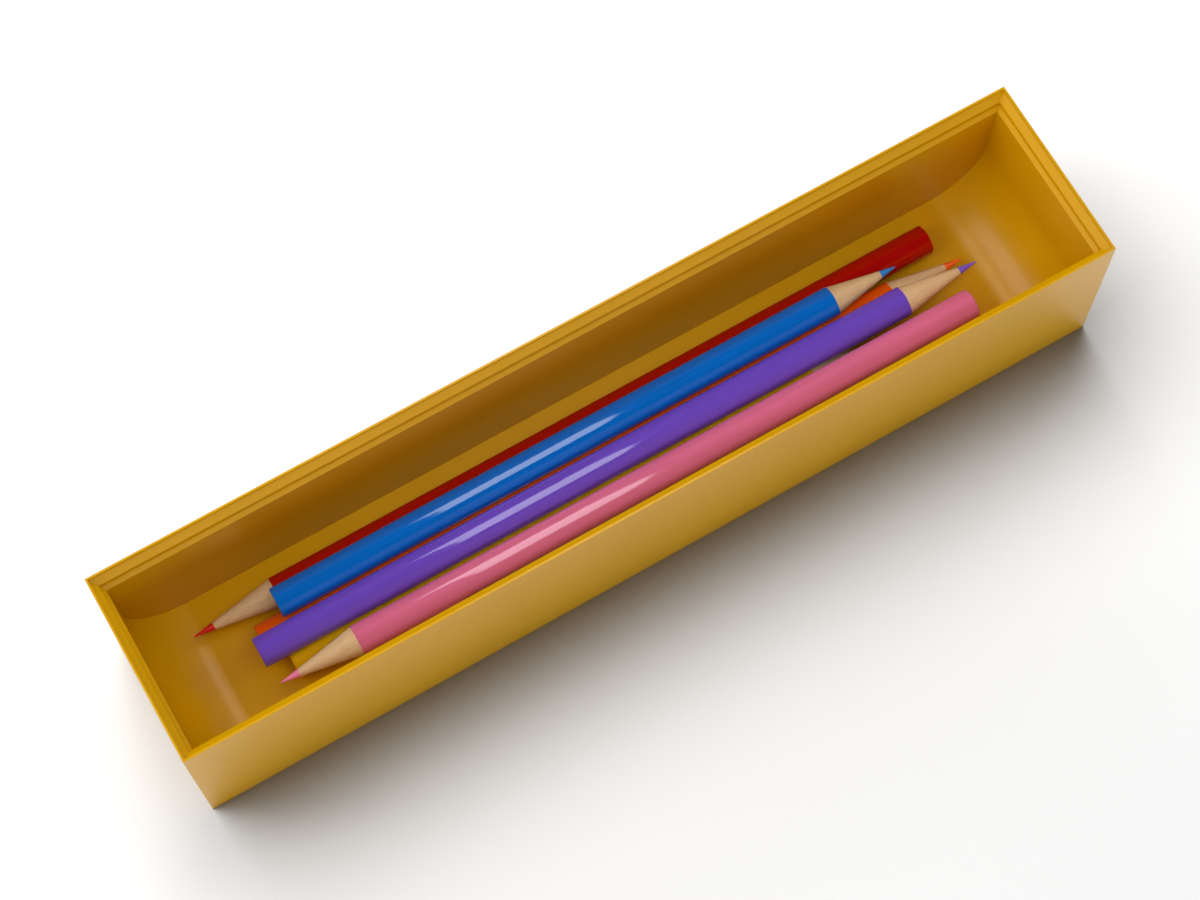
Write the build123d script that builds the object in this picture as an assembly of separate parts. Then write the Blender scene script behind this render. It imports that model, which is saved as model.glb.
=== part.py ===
from build123d import *
from collections import namedtuple
import math
import os

# A long, narrow drawer box moulded in one piece, with seven coloured pencils lying in it.
# Millimetres. The origin is the middle of the underside, X runs along the box from the
# left end wall to the right one, Y runs across it from the near long wall to the far one,
# and Z is up.

os.makedirs("parts", exist_ok=True)

# ---- the box: overall size and walls
BOX_LENGTH = 209.5
BOX_WIDTH = 41.5
BOX_HEIGHT = 42.0
WALL = 2.6                # straight wall below the rim
FLOOR = 7.0               # underside to the flat floor inside

# ---- the box: the stepped rim that the next box's foot drops into, from the top down
RIM_LAND = 0.45           # flat top edge
RIM_DROP = 0.8            # short upright step under the land
RIM_LEDGE = 1.8           # inset of the upright band halfway down
RIM_BAND_HEIGHT = 1.45    # height of that band, between two 45 degree chamfers

# ---- the box: end walls that curve into the floor, so that a finger can scoop things out
LEFT_SCOOP_RADIUS = 13.5
LEFT_SCOOP_CREASE = 4.0   # degrees that the left curve still slopes where it meets the floor
RIGHT_SCOOP_RADIUS = 14.0

# ---- a pencil's section: hexagonal, edge up
BARREL_FLATS = 6.4        # across the flats, over the lacquer
BARREL_ROUND = 0.5        # rounding of the six long edges
LACQUER = 0.12
CORE_DIAMETER = 1.7
BUTT_CHAMFER = 0.35       # softened edge round the cut end
POINT_DIAMETER = 0.3      # the blunt point

# ---- how the pencils lie
SEAT_CLEARANCE = 0.1      # lower layer to the floor
NEST_CLEARANCE = 0.1      # between the facets of the two layers
ROW_GAP = 1.1             # between the flat sides of neighbours in a layer
NEAR_GAP = 2.25           # near wall to the first pencil's flat side

# Each pencil: its layer (0 on the floor, 1 nested on top), its row from the near wall, which
# way it points along X, how far its point is from the inside of the end wall it points at,
# how far its butt is from the other end wall, and the length of its sharpened cone.
Pencil = namedtuple("Pencil", "layer row heading point_gap butt_gap cone_length")
PENCILS = {
    "red": Pencil(layer=0, row=3, heading=-1, point_gap=10.7, butt_gap=19.2, cone_length=18.5),
    "orange": Pencil(layer=0, row=2, heading=1, point_gap=15.1, butt_gap=21.9, cone_length=17.3),
    "yellow": Pencil(layer=0, row=1, heading=1, point_gap=39.0, butt_gap=25.3, cone_length=17.3),
    "green": Pencil(layer=0, row=0, heading=-1, point_gap=44.0, butt_gap=30.3, cone_length=17.3),
    "blue": Pencil(layer=1, row=2, heading=1, point_gap=29.8, butt_gap=28.0, cone_length=15.5),
    "purple": Pencil(layer=1, row=1, heading=1, point_gap=14.6, butt_gap=20.2, cone_length=17.8),
    "pink": Pencil(layer=1, row=0, heading=-1, point_gap=21.2, butt_gap=20.3, cone_length=17.2),
}

# ---- worked out from the sizes above
HALF_HEX = math.radians(30)
CORNER_CUT = 1 / math.cos(HALF_HEX) - 1          # corner lost per millimetre of rounding
BARREL_REACH = BARREL_FLATS / 2 / math.cos(HALF_HEX) - BARREL_ROUND * CORNER_CUT
INNER_X = BOX_LENGTH / 2 - WALL                  # inside face of each end wall
INNER_Y = BOX_WIDTH / 2 - WALL                   # inside face of each long wall
ROW_PITCH = BARREL_FLATS + ROW_GAP
LAYER_RISE = (BARREL_FLATS + NEST_CLEARANCE - ROW_PITCH / 2 * math.sin(HALF_HEX)) / math.cos(HALF_HEX)


def rim_recess():
    """The stepped opening inside the rim: rectangles stacked from the wall's top upwards."""
    lower_chamfer = WALL - RIM_LEDGE
    upper_chamfer = RIM_LEDGE - RIM_LAND
    steps = [(RIM_LAND, 0), (RIM_LAND, RIM_DROP)]
    steps.append((RIM_LEDGE, RIM_DROP + upper_chamfer))
    steps.append((RIM_LEDGE, RIM_DROP + upper_chamfer + RIM_BAND_HEIGHT))
    steps.append((WALL, RIM_DROP + upper_chamfer + RIM_BAND_HEIGHT + lower_chamfer))
    sections = []
    for inset, depth in reversed(steps):
        level = Plane.XY.offset(BOX_HEIGHT - depth)
        sections.append(level * Rectangle(BOX_LENGTH - 2 * inset, BOX_WIDTH - 2 * inset))
    return loft(sections, ruled=True), steps[-1][1]


def well(top):
    """The space from the floor up to the rim, curved at both ends, as one long profile."""
    crease = math.radians(LEFT_SCOOP_CREASE)
    left_rise = LEFT_SCOOP_RADIUS * math.cos(crease)
    left_end = -INNER_X + LEFT_SCOOP_RADIUS * (1 - math.sin(crease))
    right_start = INNER_X - RIGHT_SCOOP_RADIUS
    left_centre = (-INNER_X + LEFT_SCOOP_RADIUS, FLOOR + left_rise)
    right_centre = (right_start, FLOOR + RIGHT_SCOOP_RADIUS)
    with BuildSketch(Plane.XZ) as profile:
        with BuildLine():
            Line((-INNER_X, top), (-INNER_X, FLOOR + left_rise))
            CenterArc(left_centre, LEFT_SCOOP_RADIUS, 180, 90 - LEFT_SCOOP_CREASE)
            Line((left_end, FLOOR), (right_start, FLOOR))
            CenterArc(right_centre, RIGHT_SCOOP_RADIUS, 270, 90)
            Line((INNER_X, FLOOR + RIGHT_SCOOP_RADIUS), (INNER_X, top))
            Line((INNER_X, top), (-INNER_X, top))
        make_face()
    return extrude(profile.sketch, amount=INNER_Y, both=True)


def box_body():
    """The moulding: a plain block outside, hollowed by the well and the stepped rim."""
    block = Pos(0, 0, BOX_HEIGHT / 2) * Box(BOX_LENGTH, BOX_WIDTH, BOX_HEIGHT)
    recess, depth = rim_recess()
    return block - well(BOX_HEIGHT - depth) - recess


def hexagon(flats, rounding, at):
    """A rounded hexagon, edge up, square to X at the given place."""
    side_on = Plane(origin=(at, 0, 0), x_dir=(0, 1, 0), z_dir=(1, 0, 0))
    outline = RegularPolygon(flats / 2, 6, major_radius=False, rotation=30)
    return side_on * fillet(outline.vertices(), rounding)


def stick(flats, rounding, stations):
    """A hexagonal stick, faceted from station to station: each a share of the section and a place."""
    return loft([hexagon(flats * share, rounding * share, at) for share, at in stations], ruled=True)


def pencil_pieces(pencil):
    """Lacquer coat, the two glued wood slats and the core of a pencil with its point at zero.

    The point is turned to +X. The lacquer goes over the butt and stops square where the
    sharpened cone begins, and the cone cuts through wood and core alike.
    """
    wood_flats = BARREL_FLATS - 2 * LACQUER
    wood_round = BARREL_ROUND - LACQUER
    butt = pencil.point_gap + pencil.butt_gap - 2 * INNER_X
    wood_butt = butt + LACQUER
    blunt = POINT_DIAMETER / wood_flats
    eased = 1 - 2 * BUTT_CHAMFER / BARREL_FLATS
    coat = stick(BARREL_FLATS, BARREL_ROUND, [(eased, butt), (1, butt + BUTT_CHAMFER), (1, -pencil.cone_length)])
    shaft = [(eased, wood_butt), (1, wood_butt + BUTT_CHAMFER), (1, -pencil.cone_length), (blunt, 0)]
    blank = stick(wood_flats, wood_round, shaft)
    rod = Pos(wood_butt / 2, 0, 0) * Rot(0, 90, 0) * Cylinder(CORE_DIAMETER / 2, -wood_butt)
    wood = blank - rod
    half = Box(-2 * butt, 2 * BARREL_FLATS, BARREL_FLATS)
    return {
        "lacquer": coat - blank,
        "upper_slat": wood & Pos(0, 0, BARREL_FLATS / 2) * half,
        "lower_slat": wood & Pos(0, 0, -BARREL_FLATS / 2) * half,
        "core": blank & rod,
    }


def resting_place(pencil):
    """Where the pencil's point lies, and the half turn of one that points to the left."""
    across = -INNER_Y + NEAR_GAP + BARREL_FLATS / 2 + (pencil.row + pencil.layer / 2) * ROW_PITCH
    height = FLOOR + SEAT_CLEARANCE + BARREL_REACH + pencil.layer * LAYER_RISE
    point = pencil.heading * (INNER_X - pencil.point_gap)
    turn = 0 if pencil.heading > 0 else 180
    return Pos(point, across, height) * Rot(0, 0, turn)


def write(name, shape):
    """One file per piece, named after the piece."""
    export_step(shape, f"parts/{name}.step")


write("box_body", box_body())
for colour, pencil in PENCILS.items():
    place = resting_place(pencil)
    for piece, shape in pencil_pieces(pencil).items():
        write(f"{colour}_{piece}", place * shape)
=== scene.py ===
"""A long moulded drawer box with seven coloured pencils lying in it.

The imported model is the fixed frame. The box is built as one clean moulding, and every pencil
as its coat of lacquer, two glued slats and pigment core, each in the place of its own node.
Sizes are written in millimetres and multiplied by MM, because the scene is in metres.
"""

import logging
import math
from abc import ABC, abstractmethod
from collections.abc import Iterable, Mapping, Sequence
from dataclasses import dataclass, field
from enum import Enum

import bmesh
import bpy
from mathutils import Matrix, Vector

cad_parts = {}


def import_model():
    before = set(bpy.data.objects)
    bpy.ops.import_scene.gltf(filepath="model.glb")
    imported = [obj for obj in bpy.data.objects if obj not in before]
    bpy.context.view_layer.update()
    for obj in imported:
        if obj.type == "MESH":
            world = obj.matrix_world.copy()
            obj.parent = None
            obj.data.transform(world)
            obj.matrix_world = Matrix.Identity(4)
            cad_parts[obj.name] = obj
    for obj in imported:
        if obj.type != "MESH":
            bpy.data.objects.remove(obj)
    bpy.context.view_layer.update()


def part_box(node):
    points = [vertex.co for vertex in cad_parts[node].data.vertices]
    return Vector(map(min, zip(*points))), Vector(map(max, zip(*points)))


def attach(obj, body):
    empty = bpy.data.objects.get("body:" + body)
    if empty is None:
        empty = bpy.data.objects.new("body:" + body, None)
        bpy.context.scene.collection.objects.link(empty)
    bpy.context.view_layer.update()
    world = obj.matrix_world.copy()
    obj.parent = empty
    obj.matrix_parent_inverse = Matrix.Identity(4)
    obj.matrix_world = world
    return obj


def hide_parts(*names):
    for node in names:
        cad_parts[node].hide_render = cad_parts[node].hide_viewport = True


Tree = bpy.types.NodeTree
Node = bpy.types.Node
Socket = bpy.types.NodeSocket

MM = 0.001
LOG = logging.getLogger("pencil_drawer_box")

# Nearly all values of a noise texture lie between these two.
NOISE_LOW, NOISE_HIGH = 0.3, 0.7


# ---------------------------------------------------------------- helpers


def srgb(code: str) -> tuple[float, float, float, float]:
    """Turns an sRGB hex colour into linear RGBA.

    Args:
        code: The colour as "#rrggbb".

    Returns:
        Linear red, green and blue, and an alpha of one.
    """
    channels = [int(code[at : at + 2], 16) / 255 for at in (1, 3, 5)]
    red, green, blue = (
        c / 12.92 if c <= 0.04045 else ((c + 0.055) / 1.055) ** 2.4 for c in channels
    )
    return red, green, blue, 1.0


def add_node(
    tree: Tree,
    kind: str,
    settings: Mapping[str, object] | None = None,
    inputs: Mapping[str | int, object] | None = None,
) -> Node:
    """Adds one node with its settings and links.

    Args:
        tree: The shader or geometry tree that gets the node.
        kind: The node's type, as Blender names it.
        settings: Properties of the node.
        inputs: Values or sockets for its inputs, by name or place.

    Returns:
        The new node.
    """
    node = tree.nodes.new(kind)
    for name, value in (settings or {}).items():
        setattr(node, name, value)
    for key, value in (inputs or {}).items():
        if isinstance(value, Socket):
            tree.links.new(value, node.inputs[key])
        else:
            node.inputs[key].default_value = value
    return node


def link_object(name: str, data: bpy.types.ID) -> bpy.types.Object:
    """Puts new object data into the scene, at the origin.

    Args:
        name: The object's name.
        data: Its mesh, lamp or camera.

    Returns:
        The new object.
    """
    made = bpy.data.objects.new(name, data)
    bpy.context.scene.collection.objects.link(made)
    return made


def point_outwards(mesh: bpy.types.Mesh) -> None:
    """Turns the faces of a closed mesh outwards.

    Args:
        mesh: The mesh to change.
    """
    work = bmesh.new()
    work.from_mesh(mesh)
    bmesh.ops.recalc_face_normals(work, faces=work.faces)
    work.to_mesh(mesh)
    work.free()


# ---------------------------------------------------------------- finishes


@dataclass(frozen=True)
class Finish(ABC):
    """What every finish has: a name, a colour, a roughness and a refractive index."""

    name: str
    colour: str
    roughness: float
    ior: float

    def material(self) -> bpy.types.Material:
        """Builds the material.

        Returns:
            The material, with its texture nodes linked to one Principled shader.
        """
        made = bpy.data.materials.new(self.name)
        made.use_nodes = True
        tree = made.node_tree
        tree.nodes.clear()
        colour = srgb(self.colour)
        surface = add_node(
            tree,
            "ShaderNodeBsdfPrincipled",
            inputs={"Base Color": colour, "Roughness": self.roughness, "IOR": self.ior},
        )
        add_node(tree, "ShaderNodeOutputMaterial", inputs={"Surface": surface.outputs[0]})
        place = add_node(tree, "ShaderNodeTexCoord").outputs["Object"]
        self.dress(tree, surface, place)
        made.diffuse_color = colour
        return made

    def vary_colour(self, tree: Tree, surface: Node, pattern: Socket, depth: float) -> None:
        """Lightens and darkens the colour after a pattern.

        Args:
            tree: The material's nodes.
            surface: Its Principled shader.
            pattern: The values of a noise texture.
            depth: The share of its brightness that the colour gains or loses.
        """
        shade = add_node(
            tree,
            "ShaderNodeMapRange",
            inputs={
                "Value": pattern,
                "From Min": NOISE_LOW,
                "From Max": NOISE_HIGH,
                "To Min": 1 - depth,
                "To Max": 1 + depth,
            },
        )
        tint = add_node(
            tree,
            "ShaderNodeHueSaturation",
            inputs={"Value": shade.outputs[0], "Color": srgb(self.colour)},
        )
        tree.links.new(tint.outputs[0], surface.inputs["Base Color"])

    @abstractmethod
    def dress(self, tree: Tree, surface: Node, place: Socket) -> None:
        """Adds the finish's own texture nodes.

        Args:
            tree: The material's nodes.
            surface: Its Principled shader.
            place: Object coordinates, in metres.
        """


@dataclass(frozen=True)
class MouldedPlastic(Finish):
    """Injection-moulded ABS from a spark-eroded tool.

    To the eye it is an even, deep amber with a satin sheen, broken up by a fine, duller grain,
    and slow clouding where the melt flowed.
    """

    cloud_size: float = 28.0
    cloud_depth: float = 0.03
    grain_size: float = 0.22
    grain_depth: float = 0.02

    def dress(self, tree: Tree, surface: Node, place: Socket) -> None:
        """Clouds the colour, and breaks up the sheen with the tool's grain."""
        cloud = add_node(
            tree,
            "ShaderNodeTexNoise",
            inputs={"Vector": place, "Scale": 1 / (self.cloud_size * MM), "Detail": 3.0},
        )
        self.vary_colour(tree, surface, cloud.outputs["Fac"], self.cloud_depth)
        # The real grain is about 0.05 mm. It is drawn four times as coarse, so that it shows.
        grain = add_node(
            tree,
            "ShaderNodeTexNoise",
            inputs={"Vector": place, "Scale": 1 / (self.grain_size * MM), "Detail": 2.0},
        )
        dull = add_node(
            tree,
            "ShaderNodeMapRange",
            inputs={
                "Value": grain.outputs["Fac"],
                "From Min": NOISE_LOW,
                "From Max": NOISE_HIGH,
                "To Min": self.roughness - self.grain_depth,
                "To Max": self.roughness + self.grain_depth,
            },
        )
        tree.links.new(dull.outputs[0], surface.inputs["Roughness"])


@dataclass(frozen=True)
class PencilLacquer(Finish):
    """Nitrocellulose lacquer, extruded over the barrel in several thin coats.

    To the eye it is a strong, even colour under a clear gloss, with a slow orange peel that
    barely moves the highlights.
    """

    peel_size: float = 1.6
    peel_length: float = 20.0
    peel_height: float = 0.0003
    pigment_depth: float = 0.04

    def dress(self, tree: Tree, surface: Node, place: Socket) -> None:
        """Adds the slight streaks of the pigment and the orange peel."""
        drawn = add_node(
            tree,
            "ShaderNodeMapping",
            inputs={"Vector": place, "Scale": (self.peel_size / self.peel_length, 1.0, 1.0)},
        )
        streak = add_node(
            tree,
            "ShaderNodeTexNoise",
            inputs={"Vector": drawn.outputs[0], "Scale": 1 / (self.peel_size * MM), "Detail": 2.0},
        )
        self.vary_colour(tree, surface, streak.outputs["Fac"], self.pigment_depth)
        bump = add_node(
            tree,
            "ShaderNodeBump",
            inputs={
                "Strength": 1.0,
                "Distance": self.peel_height * MM,
                "Height": streak.outputs["Fac"],
            },
        )
        tree.links.new(bump.outputs[0], surface.inputs["Normal"])


@dataclass(frozen=True)
class SharpenedWood(Finish):
    """Basswood, cut to a cone by a sharpener's blade.

    To the eye it is a pale, matt cream with fine darker fibres along the pencil and the faint
    rings that the blade leaves.
    """

    fibre: str = "#a57c50"
    fibre_width: float = 0.35
    fibre_length: float = 9.0
    fibre_strength: float = 0.3
    ring_pitch: float = 2.83
    ring_height: float = 0.002

    def dress(self, tree: Tree, surface: Node, place: Socket) -> None:
        """Draws the fibres along X and the blade's rings across it."""
        stretch = self.fibre_width / self.fibre_length
        drawn = add_node(
            tree,
            "ShaderNodeMapping",
            inputs={"Vector": place, "Scale": (stretch, 1.0, 1.0)},
        )
        fibres = add_node(
            tree,
            "ShaderNodeTexNoise",
            inputs={
                "Vector": drawn.outputs[0],
                "Scale": 1 / (self.fibre_width * MM),
                "Detail": 4.0,
            },
        )
        # Only the upper part of the noise shows as fibres, so they stand apart.
        amount = add_node(
            tree,
            "ShaderNodeMapRange",
            inputs={
                "Value": fibres.outputs["Fac"],
                "From Min": 0.4,
                "From Max": 0.8,
                "To Max": self.fibre_strength,
            },
        )
        tint = add_node(
            tree,
            "ShaderNodeMix",
            {"data_type": "RGBA"},
            {0: amount.outputs[0], 6: srgb(self.colour), 7: srgb(self.fibre)},
        )
        tree.links.new(tint.outputs[2], surface.inputs["Base Color"])
        # At a scale of one, the wave texture has twenty radians of wave to the metre.
        rings = add_node(
            tree,
            "ShaderNodeTexWave",
            {"bands_direction": "X", "wave_profile": "SIN"},
            {
                "Vector": place,
                "Scale": math.tau / (self.ring_pitch * MM) / 20,
                "Distortion": 1.5,
                "Detail": 2.0,
            },
        )
        relief = add_node(
            tree,
            "ShaderNodeMath",
            {"operation": "ADD"},
            {0: rings.outputs["Fac"], 1: fibres.outputs["Fac"]},
        )
        bump = add_node(
            tree,
            "ShaderNodeBump",
            inputs={
                "Strength": 1.0,
                "Distance": self.ring_height * MM,
                "Height": relief.outputs[0],
            },
        )
        tree.links.new(bump.outputs[0], surface.inputs["Normal"])


@dataclass(frozen=True)
class PigmentCore(Finish):
    """Pigment bound in wax and clay, cut by the same blade as the wood.

    To the eye it is brighter than the lacquer of its pencil, waxy, with fine pale specks.
    """

    speck_size: float = 0.12
    speck_depth: float = 0.09
    speck_height: float = 0.004

    def dress(self, tree: Tree, surface: Node, place: Socket) -> None:
        """Adds the specks to the colour and the relief."""
        specks = add_node(
            tree,
            "ShaderNodeTexNoise",
            inputs={"Vector": place, "Scale": 1 / (self.speck_size * MM), "Detail": 2.0},
        )
        self.vary_colour(tree, surface, specks.outputs["Fac"], self.speck_depth)
        bump = add_node(
            tree,
            "ShaderNodeBump",
            inputs={
                "Strength": 1.0,
                "Distance": self.speck_height * MM,
                "Height": specks.outputs["Fac"],
            },
        )
        tree.links.new(bump.outputs[0], surface.inputs["Normal"])


@dataclass(frozen=True)
class PaintedBoard(Finish):
    """Matt painted board, as a studio floor: pale and even, with no gloss.

    To the eye it is plain under the box and fades into a white backdrop further out, between
    two distances from the box in metres.
    """

    fade_start: float = 0.3
    fade_end: float = 0.7

    def dress(self, tree: Tree, surface: Node, place: Socket) -> None:
        """Takes the gloss off, and makes the board glow white away from the box."""
        surface.inputs["Specular IOR Level"].default_value = 0.0
        surface.inputs["Emission Color"].default_value = srgb("#ffffff")
        distance = add_node(tree, "ShaderNodeVectorMath", {"operation": "LENGTH"}, {0: place})
        fade = add_node(
            tree,
            "ShaderNodeMapRange",
            {"interpolation_type": "SMOOTHSTEP"},
            {
                "Value": distance.outputs["Value"],
                "From Min": self.fade_start,
                "From Max": self.fade_end,
            },
        )
        tree.links.new(fade.outputs[0], surface.inputs["Emission Strength"])


# ---------------------------------------------------------------- the box


@dataclass
class DrawerBox:
    """The box: one moulding with a stepped rim and end walls that curve into its floor.

    Its outside comes from the frame. Insets are measured from the outside, drops from the top.
    The left curve still slopes, by left_crease degrees, where it meets the floor. An edge that
    bends by more than sharp_bend degrees gets a radius: edge_radius, or rim_share of it on
    the rim's fine steps.
    """

    finish: MouldedPlastic
    node: str = "box_body"
    body: str = "box"
    slot: str = "box_plastic"
    wall: float = 2.6
    floor: float = 7.0
    rim_land: float = 0.45
    rim_drop: float = 0.8
    rim_ledge: float = 1.8
    rim_band: float = 1.45
    left_radius: float = 13.5
    left_crease: float = 4.0
    right_radius: float = 14.0
    arc_steps: int = 28
    sharp_bend: float = 25.0
    edge_radius: float = 0.3
    edge_steps: int = 3
    rim_share: float = 0.4

    def scoop(
        self, centre: tuple[float, float], radius: float, start: float, sweep: float
    ) -> list[Vector]:
        """Draws the curve between an end wall and the floor.

        Args:
            centre: The curve's centre, along and up.
            radius: Its radius.
            start: Where it starts, in degrees.
            sweep: How far it goes round, in degrees.

        Returns:
            Points along the curve, both ends included.
        """
        along, up = centre
        points = []
        for step in range(self.arc_steps + 1):
            turn = math.radians(start + sweep * step / self.arc_steps)
            points.append(Vector((along + radius * math.cos(turn), up + radius * math.sin(turn))))
        return points

    def well_line(self, half_length: float) -> list[Vector]:
        """Draws the inside of the box, seen from the side, from the left wall to the right one.

        Args:
            half_length: Half the length of the box.

        Returns:
            Points of the line, along and up.
        """
        inner = half_length - self.wall
        left_centre = (
            -inner + self.left_radius,
            self.floor + self.left_radius * math.cos(math.radians(self.left_crease)),
        )
        right_centre = (inner - self.right_radius, self.floor + self.right_radius)
        left = self.scoop(left_centre, self.left_radius, 180, 90 - self.left_crease)
        return left + self.scoop(right_centre, self.right_radius, 270, 90)

    def rings(self, height: float) -> list[tuple[float, float]]:
        """Lists the rectangles that the walls are built on.

        Args:
            height: The box's height.

        Returns:
            The inset and height of each, from the outside of the base, over the rim, to the well.
        """
        upper = self.rim_drop + self.rim_ledge - self.rim_land
        lower = upper + self.rim_band + self.wall - self.rim_ledge
        steps = [
            (0.0, height),
            (0.0, 0.0),
            (self.rim_land, 0.0),
            (self.rim_land, self.rim_drop),
            (self.rim_ledge, upper),
            (self.rim_ledge, upper + self.rim_band),
            (self.wall, lower),
        ]
        return [(inset, height - drop) for inset, drop in steps]

    def weigh_edges(self, work: bmesh.types.BMesh, rim_foot: float, crease_at: float) -> None:
        """Weights the edges that get a radius, and keeps the left curve's crease sharp.

        Args:
            work: The moulding.
            rim_foot: The height of the rim's lowest edge.
            crease_at: Where the crease lies, along the box.
        """
        weight = work.edges.layers.float.new("bevel_weight_edge")
        for edge in work.edges:
            bend = edge.calc_face_angle(0.0)
            if bend > math.radians(self.sharp_bend):
                on_rim = all(v.co.z > (rim_foot - 1) * MM for v in edge.verts)
                edge[weight] = self.rim_share if on_rim else 1.0
            on_crease = all(
                abs(v.co.x - crease_at * MM) < 1e-6 and v.co.z > self.floor / 2 * MM
                for v in edge.verts
            )
            if on_crease and bend > math.radians(self.left_crease / 4):
                edge.smooth = False

    def mesh(self) -> bpy.types.Mesh:
        """Builds the moulding out of rows of points along each side, joined by faces.

        Returns:
            The mesh, in metres, in the frame's place.
        """
        low, high = (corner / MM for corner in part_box(self.node))
        half_length, half_width = (high.x - low.x) / 2, (high.y - low.y) / 2
        rings = self.rings(high.z - low.z)
        line = self.well_line(half_length)
        rows = []
        for inset, level in rings:
            row = [(p.x, level) for p in line]
            row[0], row[-1] = (-half_length + inset, level), (half_length - inset, level)
            rows.append((half_width - inset, row))
        rows.append((half_width - self.wall, [(p.x, p.y) for p in line]))
        work = bmesh.new()
        sides = []
        for across, row in rows:
            near = [work.verts.new(Vector((x, -across, z)) * MM) for x, z in row]
            far = [work.verts.new(Vector((x, across, z)) * MM) for x, z in row]
            sides.append((near, far))
        spans = range(len(line) - 1)
        for (near_a, far_a), (near_b, far_b) in zip(sides, sides[1:]):
            for at in spans:
                work.faces.new((near_a[at], near_a[at + 1], near_b[at + 1], near_b[at]))
                work.faces.new((far_a[at], far_b[at], far_b[at + 1], far_a[at + 1]))
            for end in (0, -1):
                work.faces.new((near_a[end], far_a[end], far_b[end], near_b[end]))
        for near, far in (sides[0], sides[-1]):
            for at in spans:
                work.faces.new((near[at], near[at + 1], far[at + 1], far[at]))
        bmesh.ops.recalc_face_normals(work, faces=work.faces)
        self.weigh_edges(work, rings[-1][1], line[self.arc_steps].x)
        mesh = bpy.data.meshes.new(self.node)
        work.to_mesh(mesh)
        work.free()
        return mesh

    def build(self) -> bpy.types.Object:
        """Builds the moulding, rounds its edges and gives it to its body.

        Returns:
            The finished piece.
        """
        mesh = self.mesh()
        mesh.materials.append(self.finish.material())
        piece = link_object("drawer_box", mesh)
        for face in mesh.polygons:
            face.use_smooth = True
        radius = piece.modifiers.new("edge_radius", "BEVEL")
        radius.limit_method = "WEIGHT"
        radius.width = self.edge_radius * MM
        radius.segments = self.edge_steps
        radius.harden_normals = True
        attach(piece, self.body)
        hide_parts(self.node)
        return piece


# ---------------------------------------------------------------- the pencils


class Turn(Enum):
    """How far a piece of a pencil goes round its axis: its start and sweep, from straight up."""

    WHOLE = (0.0, math.tau)
    UPPER_HALF = (-math.pi / 2, math.pi)
    LOWER_HALF = (math.pi / 2, math.pi)


@dataclass(frozen=True)
class Station:
    """One corner of a turned outline: its place along the axis, its reach and its roundness.

    The reach is to the middle of a facet. A roundness of zero is the hexagon, one the circle.
    """

    along: float
    reach: float
    roundness: float = 0.0


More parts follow.
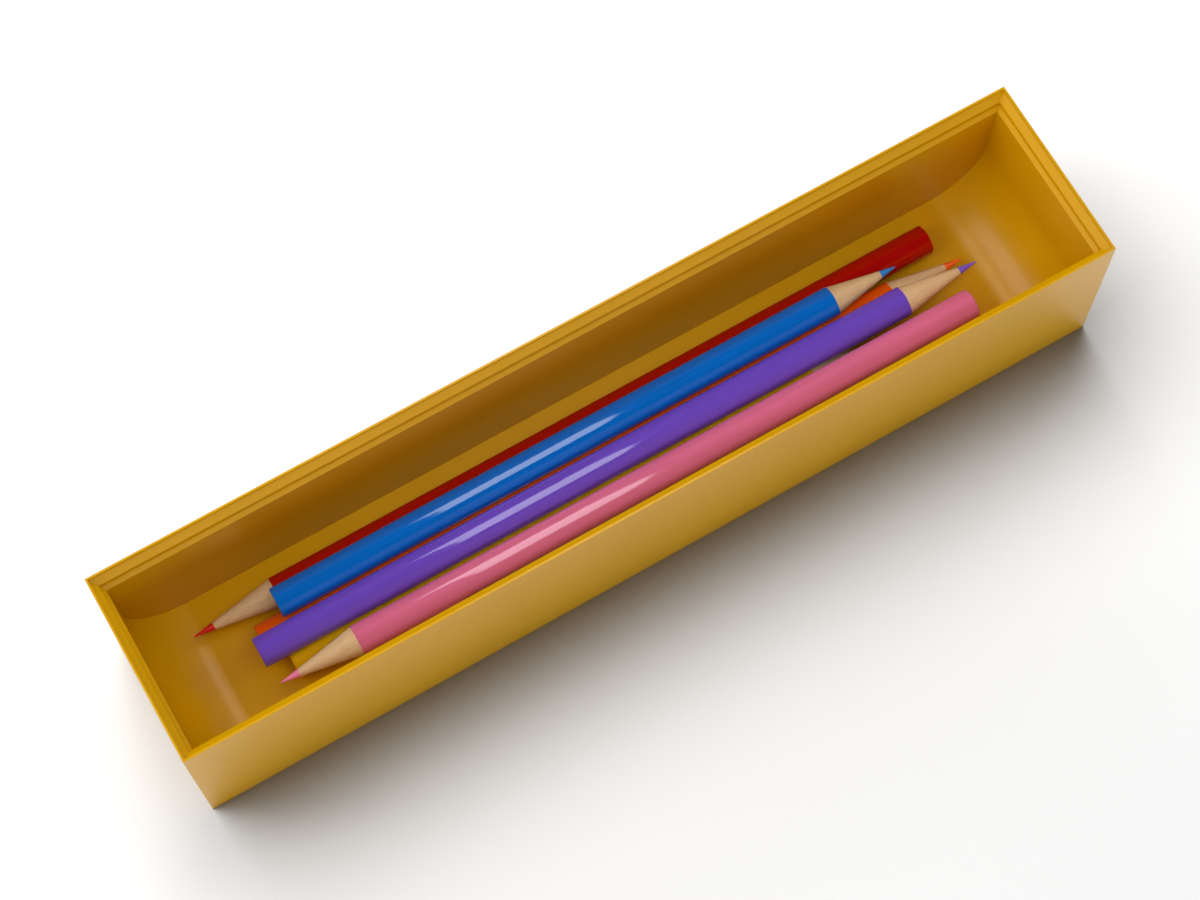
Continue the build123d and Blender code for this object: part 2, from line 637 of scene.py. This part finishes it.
class HexagonLathe:
    """Geometry Nodes tree that turns an outline about X and draws it into a soft hexagon.

    Points closer than MERGE_DISTANCE millimetres become one, and edges that bend by more than
    CRISP_BEND degrees are shaded sharp.
    """

    OUTLINE_ROUNDNESS = "roundness"
    MERGE_DISTANCE = 0.0005
    CRISP_BEND = 32.0

    def __init__(self) -> None:
        """Builds the tree once for all pieces."""
        self.tree = bpy.data.node_groups.new("hexagon_lathe", "GeometryNodeTree")
        self.identifiers: dict[str, str] = {}
        self._interface()
        self._nodes()

    def _interface(self) -> None:
        ports = self.tree.interface
        ports.new_socket("Outline", in_out="INPUT", socket_type="NodeSocketGeometry")
        named = {
            "Turn Start": "NodeSocketFloat",
            "Turn Sweep": "NodeSocketFloat",
            "Segments": "NodeSocketInt",
            "Hexagon Sharpness": "NodeSocketFloat",
            "Cut Faces": "NodeSocketBool",
            "Material": "NodeSocketMaterial",
        }
        for name, kind in named.items():
            port = ports.new_socket(name, in_out="INPUT", socket_type=kind)
            self.identifiers[name] = port.identifier
        ports.new_socket("Geometry", in_out="OUTPUT", socket_type="NodeSocketGeometry")

    def _math(self, operation: str, *values: object) -> Socket:
        """Adds one sum to the tree and returns its result."""
        inputs = dict(enumerate(values))
        return add_node(self.tree, "ShaderNodeMath", {"operation": operation}, inputs).outputs[0]

    def _hexagon(self, turn: Socket, sharpness: Socket) -> Socket:
        """Works out how far a soft hexagon reaches at each turn, edge up, for a facet at one.

        The three pairs of facets are added as powers of their cosines. The power sets how
        crisp the six edges are.

        Args:
            turn: The angle round the axis, from straight up.
            sharpness: The power.

        Returns:
            The reach.
        """
        total: object = 0.0
        for pair in range(3):
            facing = self._math("SUBTRACT", turn, math.radians(30 + 60 * pair))
            share = self._math("ABSOLUTE", self._math("COSINE", facing))
            total = self._math("ADD", total, self._math("POWER", share, sharpness))
        # The sum in the middle of a facet, where one cosine is 1 and two are 1/2.
        power = self._math("POWER", 2.0, self._math("SUBTRACT", 1.0, sharpness))
        share = self._math("DIVIDE", self._math("ADD", 1.0, power), total)
        return self._math("POWER", share, self._math("DIVIDE", 1.0, sharpness))

    def _outline(self, drawn: Socket) -> list[Socket]:
        """Reads the outline.

        Args:
            drawn: The outline as a mesh line, along X, with its reach along Z.

        Returns:
            It as a curve, and its points' places along, reaches and roundnesses.
        """
        tree = self.tree
        curve = add_node(tree, "GeometryNodeMeshToCurve", inputs={0: drawn})
        position = add_node(tree, "GeometryNodeInputPosition").outputs[0]
        corner = add_node(tree, "ShaderNodeSeparateXYZ", inputs={0: position})
        rounded = add_node(
            tree,
            "GeometryNodeInputNamedAttribute",
            {"data_type": "FLOAT"},
            {"Name": self.OUTLINE_ROUNDNESS},
        )
        outline = add_node(tree, "GeometryNodeCaptureAttribute", inputs={0: curve.outputs[0]})
        for item in ("along", "reach", "roundness"):
            outline.capture_items.new("FLOAT", item)
        tree.links.new(corner.outputs["X"], outline.inputs[1])
        tree.links.new(corner.outputs["Z"], outline.inputs[2])
        tree.links.new(rounded.outputs[0], outline.inputs[3])
        return [outline.outputs[at] for at in range(4)]

    def _path(self, segments: Socket) -> list[Socket]:
        """Draws a line that stands for the turn.

        Args:
            segments: How many steps the turn has.

        Returns:
            The line, and how far along it each of its points is, from zero to one.
        """
        tree = self.tree
        count = self._math("ADD", segments, 1)
        line = add_node(tree, "GeometryNodeCurvePrimitiveLine")
        steps = add_node(
            tree,
            "GeometryNodeResampleCurve",
            inputs={"Curve": line.outputs[0], "Count": count},
        )
        factor = add_node(tree, "GeometryNodeSplineParameter").outputs["Factor"]
        path = add_node(tree, "GeometryNodeCaptureAttribute", inputs={0: steps.outputs[0]})
        path.capture_items.new("FLOAT", "turned")
        tree.links.new(factor, path.inputs[1])
        return [path.outputs[0], path.outputs[1]]

    def _shade(self, shaped: Socket) -> Socket:
        """Merges the points that meet on the axis, and shades all but the crisp edges smooth.

        Args:
            shaped: The piece.

        Returns:
            The piece with its shading.
        """
        tree = self.tree
        merged = add_node(
            tree,
            "GeometryNodeMergeByDistance",
            inputs={"Geometry": shaped, "Distance": self.MERGE_DISTANCE * MM},
        )
        smooth = add_node(
            tree,
            "GeometryNodeSetShadeSmooth",
            {"domain": "FACE"},
            {"Geometry": merged.outputs[0], "Shade Smooth": True},
        )
        bend = add_node(tree, "GeometryNodeInputMeshEdgeAngle").outputs["Unsigned Angle"]
        crisp = self._math("GREATER_THAN", bend, math.radians(self.CRISP_BEND))
        edged = add_node(
            tree,
            "GeometryNodeSetShadeSmooth",
            {"domain": "EDGE"},
            {"Geometry": smooth.outputs[0], "Selection": crisp, "Shade Smooth": False},
        )
        return edged.outputs[0]

    def _nodes(self) -> None:
        """Adds the nodes from the outline to the finished piece."""
        tree = self.tree
        given = add_node(tree, "NodeGroupInput").outputs
        outline, along, reach, roundness = self._outline(given["Outline"])
        path, turned = self._path(given["Segments"])
        swept = add_node(
            tree,
            "GeometryNodeCurveToMesh",
            inputs={"Curve": path, "Profile Curve": outline, "Fill Caps": given["Cut Faces"]},
        )
        turn = self._math("MULTIPLY_ADD", turned, given["Turn Sweep"], given["Turn Start"])
        hexagon = self._hexagon(turn, given["Hexagon Sharpness"])
        section = add_node(tree, "ShaderNodeMix", inputs={0: roundness, 2: hexagon, 3: 1.0})
        radius = self._math("MULTIPLY", reach, section.outputs[0])
        place = add_node(
            tree,
            "ShaderNodeCombineXYZ",
            inputs={
                "X": along,
                "Y": self._math("MULTIPLY", radius, self._math("SINE", turn)),
                "Z": self._math("MULTIPLY", radius, self._math("COSINE", turn)),
            },
        )
        shaped = add_node(
            tree,
            "GeometryNodeSetPosition",
            inputs={"Geometry": swept.outputs[0], "Position": place.outputs[0]},
        )
        shaded = self._shade(shaped.outputs[0])
        real = add_node(tree, "GeometryNodeRealizeInstances", inputs={0: shaded})
        dressed = add_node(
            tree,
            "GeometryNodeSetMaterial",
            inputs={"Geometry": real.outputs[0], "Material": given["Material"]},
        )
        add_node(tree, "NodeGroupOutput", inputs={"Geometry": dressed.outputs[0]})

    def make(
        self,
        name: str,
        outline: Iterable[Station],
        turn: Turn,
        segments: int,
        sharpness: float,
        material: bpy.types.Material,
        place: Matrix,
    ) -> bpy.types.Object:
        """Turns one outline into a finished plain mesh.

        Args:
            name: The piece's name.
            outline: Its stations in millimetres, from the butt to the point.
            turn: How far it goes round.
            segments: Steps in that turn.
            sharpness: How crisp the hexagon's edges are.
            material: The material that it gets.
            place: Where the pencil's point lies, in metres.

        Returns:
            The new object, at the origin, with its place in its mesh.
        """
        stations = list(outline)
        half = turn is not Turn.WHOLE
        edges = [(at, at + 1) for at in range(len(stations) - 1)]
        if half:
            edges.append((len(stations) - 1, 0))
        drawn = bpy.data.meshes.new(name + "_outline")
        drawn.from_pydata([(s.along * MM, 0.0, s.reach * MM) for s in stations], edges, [])
        attribute = drawn.attributes.new(self.OUTLINE_ROUNDNESS, "FLOAT", "POINT")
        attribute.data.foreach_set("value", [s.roundness for s in stations])
        piece = link_object(name, drawn)
        lathe = piece.modifiers.new("lathe", "NODES")
        lathe.node_group = self.tree
        start, sweep = turn.value
        values = {
            "Turn Start": start,
            "Turn Sweep": sweep,
            "Segments": segments,
            "Hexagon Sharpness": sharpness,
            "Cut Faces": half,
            "Material": material,
        }
        for label, value in values.items():
            lathe[self.identifiers[label]] = value
        ready = piece.evaluated_get(bpy.context.evaluated_depsgraph_get())
        mesh = bpy.data.meshes.new_from_object(ready)
        piece.modifiers.remove(lathe)
        mesh.name = name
        mesh.transform(place)
        point_outwards(mesh)
        piece.data = mesh
        return piece


@dataclass(frozen=True)
class Livery:
    """A pencil's colours: its lacquer and its pigment core."""

    lacquer: str
    pigment: str


@dataclass
class ColouredPencil:
    """One pencil: lacquer coat, upper and lower slat, and core.

    Its lengths, reaches and place come from the frame. They are measured along its axis from
    the point, which is at zero, back to the butt. The rest is set here: hold is how far a
    station stands from a corner to keep the shading flat next to it, and cone_blend sets how
    soon the hexagon turns into a circle on the cone.
    """

    colour: str
    livery: Livery
    wood: bpy.types.Material
    butt_radius: float = 0.35
    point_radius: float = 0.15
    sharpness: float = 6.0
    segments: int = 144
    cone_steps: int = 10
    cone_blend: float = 0.7
    butt_steps: int = 4
    hold: float = 0.4
    coat_reach: float = field(init=False)
    wood_reach: float = field(init=False)
    core_reach: float = field(init=False)
    shoulder: float = field(init=False)
    butt: float = field(init=False)
    wood_butt: float = field(init=False)
    place: Matrix = field(init=False)

    def __post_init__(self) -> None:
        """Reads the pencil's lengths and place from its nodes."""
        coat_low, coat_high = (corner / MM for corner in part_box(f"{self.colour}_lacquer"))
        slat_low, slat_high = (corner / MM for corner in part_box(f"{self.colour}_upper_slat"))
        core_low, core_high = (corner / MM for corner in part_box(f"{self.colour}_core"))
        points_right = core_high.x > coat_high.x
        point = core_high.x if points_right else core_low.x
        self.coat_reach = (coat_high.y - coat_low.y) / 2
        self.wood_reach = (slat_high.y - slat_low.y) / 2
        self.core_reach = (core_high.y - core_low.y) / 2
        ends = sorted((abs(point - coat_low.x), abs(point - coat_high.x)))
        self.shoulder, self.butt = -ends[0], -ends[1]
        self.wood_butt = self.butt + self.coat_reach - self.wood_reach
        centre = (coat_low + coat_high) / 2
        turn = Matrix.Rotation(0.0 if points_right else math.pi, 4, "Z")
        self.place = Matrix.Translation(Vector((point, centre.y, centre.z)) * MM) @ turn

    def eased_butt(self, end: float, reach: float) -> list[Station]:
        """Draws the rounded edge round a cut end, with a station that holds the flat after it.

        Args:
            end: Where the end lies along the axis.
            reach: The section's reach.

        Returns:
            The stations, from the end face to the barrel.
        """
        radius = self.butt_radius
        stations = [Station(end, reach - radius - self.hold)]
        for step in range(self.butt_steps + 1):
            turn = math.pi / 2 * step / self.butt_steps
            along = end + radius * (1 - math.cos(turn))
            stations.append(Station(along, reach - radius * (1 - math.sin(turn))))
        stations.append(Station(end + radius + self.hold, reach))
        return stations

    def cone(self) -> list[Station]:
        """Draws the sharpened wood, from the hexagon at the coat to a circle at the core."""
        slope = (self.wood_reach - self.point_radius) / self.shoulder
        bare = (self.wood_reach - self.core_reach) / slope
        stations = []
        for step in range(self.cone_steps + 1):
            share = step / self.cone_steps
            along = self.shoulder - bare * share
            reach = self.wood_reach + (self.core_reach - self.wood_reach) * share
            stations.append(Station(along, reach, share**self.cone_blend))
        return stations

    def coat_outline(self) -> list[Station]:
        """Draws the lacquer: over the butt, along the barrel, and back inside it."""
        outside = self.eased_butt(self.butt, self.coat_reach)
        inside = self.eased_butt(self.wood_butt, self.wood_reach)
        rim = [
            Station(self.shoulder - self.hold, self.coat_reach),
            Station(self.shoulder, self.coat_reach),
            Station(self.shoulder, self.wood_reach),
        ]
        start, end = Station(self.butt, 0.0), Station(self.wood_butt, 0.0)
        return [start, *outside, *rim, *reversed(inside), end]

    def slat_outline(self) -> list[Station]:
        """Draws half the wood: the butt, the barrel, the cone, and the groove for the core."""
        groove = Station(self.wood_butt, self.core_reach, 1.0)
        barrel = self.eased_butt(self.wood_butt, self.wood_reach)
        barrel.append(Station(self.shoulder - self.hold, self.wood_reach))
        return [groove, *barrel, *self.cone()]

    def core_outline(self) -> list[Station]:
        """Draws the core: a rod as far as the wood goes, then the cone down to its blunt point."""
        start = self.cone()[-1]
        drop = start.reach - self.point_radius
        length = -start.along - self.point_radius
        rod = [
            Station(self.wood_butt, 0.0, 1.0),
            Station(self.wood_butt, start.reach, 1.0),
            Station(start.along - self.hold, start.reach, 1.0),
        ]
        cone = [
            Station(start.along + length * share, start.reach - drop * share, 1.0)
            for share in (0.0, 0.1, 0.5, 0.9, 1.0)
        ]
        tip = [
            Station(-self.point_radius * (1 - math.sin(t)), self.point_radius * math.cos(t), 1.0)
            for t in (math.pi / 6, math.pi / 3, math.pi / 2)
        ]
        return [*rod, *cone, *tip]

    def build(self, lathe: HexagonLathe) -> list[bpy.types.Object]:
        """Makes the four pieces and gives them to the pencil's body.

        Args:
            lathe: The tree that turns them.

        Returns:
            The finished pieces.
        """
        name = self.colour
        lacquer = PencilLacquer(f"{name}_nitrocellulose_lacquer", self.livery.lacquer, 0.05, 1.5)
        pigment = PigmentCore(f"{name}_wax_pigment", self.livery.pigment, 0.55, 1.45)
        coat, slat, core = self.coat_outline(), self.slat_outline(), self.core_outline()
        plan = {
            "lacquer": (coat, Turn.WHOLE, lacquer.material(), f"{name}_lacquer"),
            "upper_slat": (slat, Turn.UPPER_HALF, self.wood, "pencil_wood"),
            "lower_slat": (slat, Turn.LOWER_HALF, self.wood, "pencil_wood"),
            "core": (core, Turn.WHOLE, pigment.material(), f"{name}_pigment"),
        }
        pieces = []
        for part, (outline, turn, material, slot) in plan.items():
            node = f"{name}_{part}"
            segments = self.segments if turn is Turn.WHOLE else self.segments // 2
            piece = lathe.make(
                f"{node}_piece", outline, turn, segments, self.sharpness, material, self.place
            )
            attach(piece, f"{name}_pencil")
            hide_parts(node)
            pieces.append(piece)
        return pieces


# ---------------------------------------------------------------- the studio


class Lights(Enum):
    """What a lamp lights."""

    OBJECT = "object"
    BOX = "box"
    PENCILS = "pencils"
    FLOOR = "floor"


@dataclass(frozen=True)
class Lamp:
    """A soft panel that faces the box: its place and size in metres, and its brightness.

    The brightness is the radiance of its face, where one is a white wall in plain light. A
    panel that shines is mirrored in gloss, and one that warms adds plain light. The turn is in
    degrees, about the line to the box.
    """

    name: str
    place: tuple[float, float, float]
    size: tuple[float, float]
    brightness: float
    lights: Lights = Lights.OBJECT
    shines: bool = True
    warms: bool = True
    turn: float = 0.0


@dataclass
class Studio:
    """The floor, the lamps, the surroundings and the camera.

    The camera's place and floor_gap, which keeps the floor off the underside, are in
    millimetres, floor_span is in metres and the camera's angles are in degrees.
    """

    board: PaintedBoard
    lamps: tuple[Lamp, ...]
    floor_span: float = 6.0
    floor_gap: float = 0.02
    ambient: float = 0.02
    camera_place: tuple[float, float, float] = (-94.34, -163.69, 564.35)
    camera_heading: float = 29.32
    camera_drop: float = 70.908
    camera_roll: float = -0.659
    lens: float = 85.0
    sensor: float = 36.0

    def lay_floor(self) -> bpy.types.Object:
        """Lays a plain pale floor under the box.

        Returns:
            The floor.
        """
        mesh = bpy.data.meshes.new("studio_floor")
        reach, level = self.floor_span / 2, -self.floor_gap * MM
        signs = ((-1, -1), (1, -1), (1, 1), (-1, 1))
        mesh.from_pydata([(reach * x, reach * y, level) for x, y in signs], [], [(0, 1, 2, 3)])
        mesh.materials.append(self.board.material())
        floor = link_object("studio_floor", mesh)
        return floor

    def hang_lamps(self, floor: bpy.types.Object, pieces: Sequence[bpy.types.Object]) -> None:
        """Hangs the soft panels, each lighting only what it is meant for.

        Args:
            floor: The floor.
            pieces: The object's pieces, the box first.
        """
        lit = {
            Lights.OBJECT: pieces,
            Lights.BOX: pieces[:1],
            Lights.PENCILS: pieces[1:],
            Lights.FLOOR: [floor],
        }
        receivers = {}
        for lights, things in lit.items():
            receivers[lights] = bpy.data.collections.new(f"lit_{lights.value}")
            for thing in things:
                receivers[lights].objects.link(thing)
        for lamp in self.lamps:
            data = bpy.data.lights.new(lamp.name, "AREA")
            data.shape = "RECTANGLE"
            data.size, data.size_y = lamp.size
            data.energy = lamp.brightness * math.pi * lamp.size[0] * lamp.size[1]
            panel = link_object(lamp.name, data)
            facing = Vector(lamp.place).to_track_quat("Z", "Y").to_matrix().to_4x4()
            turned = facing @ Matrix.Rotation(math.radians(lamp.turn), 4, "Z")
            panel.matrix_world = Matrix.Translation(lamp.place) @ turned
            panel.visible_camera = False
            panel.visible_glossy = lamp.shines
            panel.visible_diffuse = lamp.warms
            panel.light_linking.receiver_collection = receivers[lamp.lights]

    def surround(self) -> None:
        """Gives plain white surroundings, dim where they light and white where they are seen."""
        world = bpy.data.worlds.new("studio_surroundings")
        bpy.context.scene.world = world
        world.use_nodes = True
        tree = world.node_tree
        tree.nodes.clear()
        path = add_node(tree, "ShaderNodeLightPath").outputs
        seen = add_node(
            tree,
            "ShaderNodeMath",
            {"operation": "MAXIMUM"},
            {0: path["Is Camera Ray"], 1: path["Is Transmission Ray"]},
        )
        strength = add_node(
            tree,
            "ShaderNodeMapRange",
            inputs={"Value": seen.outputs[0], "To Min": self.ambient, "To Max": 1.0},
        )
        light = add_node(
            tree,
            "ShaderNodeBackground",
            inputs={"Color": srgb("#ffffff"), "Strength": strength.outputs[0]},
        )
        add_node(tree, "ShaderNodeOutputWorld", inputs={"Surface": light.outputs[0]})

    def aim_camera(self) -> None:
        """Sets the camera at the angle and distance of the reference view."""
        data = bpy.data.cameras.new("camera")
        data.lens = self.lens
        data.sensor_width = self.sensor
        data.clip_start = 0.01
        camera = link_object("camera", data)
        heading, drop = math.radians(self.camera_heading), math.radians(self.camera_drop)
        level = math.cos(drop)
        forward = Vector((level * math.sin(heading), level * math.cos(heading), -math.sin(drop)))
        flat_right = forward.cross(Vector((0, 0, 1))).normalized()
        right = Matrix.Rotation(-math.radians(self.camera_roll), 4, forward) @ flat_right
        up = right.cross(forward)
        axes = Matrix((right, up, -forward)).transposed().to_4x4()
        camera.matrix_world = Matrix.Translation(Vector(self.camera_place) * MM) @ axes
        bpy.context.scene.camera = camera

    def build(self, pieces: Sequence[bpy.types.Object]) -> None:
        """Builds the whole studio round the pieces.

        Args:
            pieces: The object's pieces, the box first.
        """
        floor = self.lay_floor()
        self.hang_lamps(floor, pieces)
        self.surround()
        self.aim_camera()
        bpy.context.scene.view_settings.view_transform = "Standard"


# ---------------------------------------------------------------- the object in its studio

LIVERIES = {
    "red": Livery(lacquer="#ac0702", pigment="#d81208"),
    "orange": Livery(lacquer="#ee5a0c", pigment="#fb6614"),
    "yellow": Livery(lacquer="#d9a305", pigment="#e8b81c"),
    "green": Livery(lacquer="#1f7a3a", pigment="#2f9a50"),
    "blue": Livery(lacquer="#046acc", pigment="#2080d4"),
    "purple": Livery(lacquer="#6b49c4", pigment="#7a55cf"),
    "pink": Livery(lacquer="#d5698c", pigment="#ee7ea4"),
}

# Two panels far up behind the box give its shadow. Strips close above it give the streaks
# along the barrels and the pale bands where the end walls curve. Panels all round, which no
# gloss mirrors, give the plain light.
LAMPS = (
    Lamp("floor_key", (-0.2, 0.42, 1.0), (1.2, 0.85), 10.6, Lights.FLOOR),
    Lamp("floor_rim", (0.83, 1.24, 0.69), (1.7, 0.5), 7.5, Lights.FLOOR),
    Lamp(
        "pencil_strip", (0.022, 0.1, 0.31), (0.065, 0.55), 5.5, Lights.PENCILS,
        warms=False, turn=15.0,
    ),
    Lamp("pencil_left", (-0.8, 0.1, 0.6), (0.5, 0.5), 2.5, Lights.PENCILS, warms=False),
    Lamp("pencil_right", (0.8, 0.1, 0.6), (0.5, 0.5), 2.0, Lights.PENCILS, warms=False),
    Lamp("box_strip", (0.036, 0.1, 0.31), (0.09, 0.4), 2.1, Lights.BOX, warms=False, turn=22.0),
    Lamp("box_left", (-0.42, 0.2, 0.6), (0.3, 0.45), 1.8, Lights.BOX),
    Lamp("top_panel", (0.0, -0.3, 1.25), (0.9, 0.6), 2.6, shines=False),
    Lamp("near_high", (0.0, -0.95, 0.95), (0.9, 0.9), 0.6, shines=False),
    Lamp("near_low", (0.0, -1.3, 0.3), (1.2, 0.6), 2.2, shines=False),
    Lamp("far_high", (0.0, 0.95, 0.95), (0.9, 0.9), 3.1, shines=False),
    Lamp("left_high", (-0.95, 0.0, 0.95), (0.9, 0.9), 2.0, shines=False),
    Lamp("left_low", (-1.3, 0.0, 0.3), (1.2, 0.6), 3.0, shines=False),
    Lamp("right_high", (0.95, 0.0, 0.95), (0.9, 0.9), 2.0, shines=False),
    Lamp("right_low", (1.3, 0.0, 0.3), (1.2, 0.6), 0.4, shines=False),
)


def main() -> None:
    """Builds the box, the pencils and the studio."""
    logging.basicConfig(level=logging.INFO, format="%(message)s")
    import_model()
    plastic = MouldedPlastic("satin_moulded_abs", "#d09a01", 0.25, 1.5)
    pieces = [DrawerBox(plastic).build()]
    LOG.info("made %s", pieces[0].name)
    wood = SharpenedWood("sharpened_basswood", "#dbb98a", 0.62, 1.4).material()
    lathe = HexagonLathe()
    for colour, livery in LIVERIES.items():
        made = ColouredPencil(colour, livery, wood).build(lathe)
        LOG.info("made %s", ", ".join(piece.name for piece in made))
        pieces += made
    Studio(PaintedBoard("matt_white_board", "#b8b8b8", 0.9, 1.45), LAMPS).build(pieces)


if __name__ == "__main__":
    main()
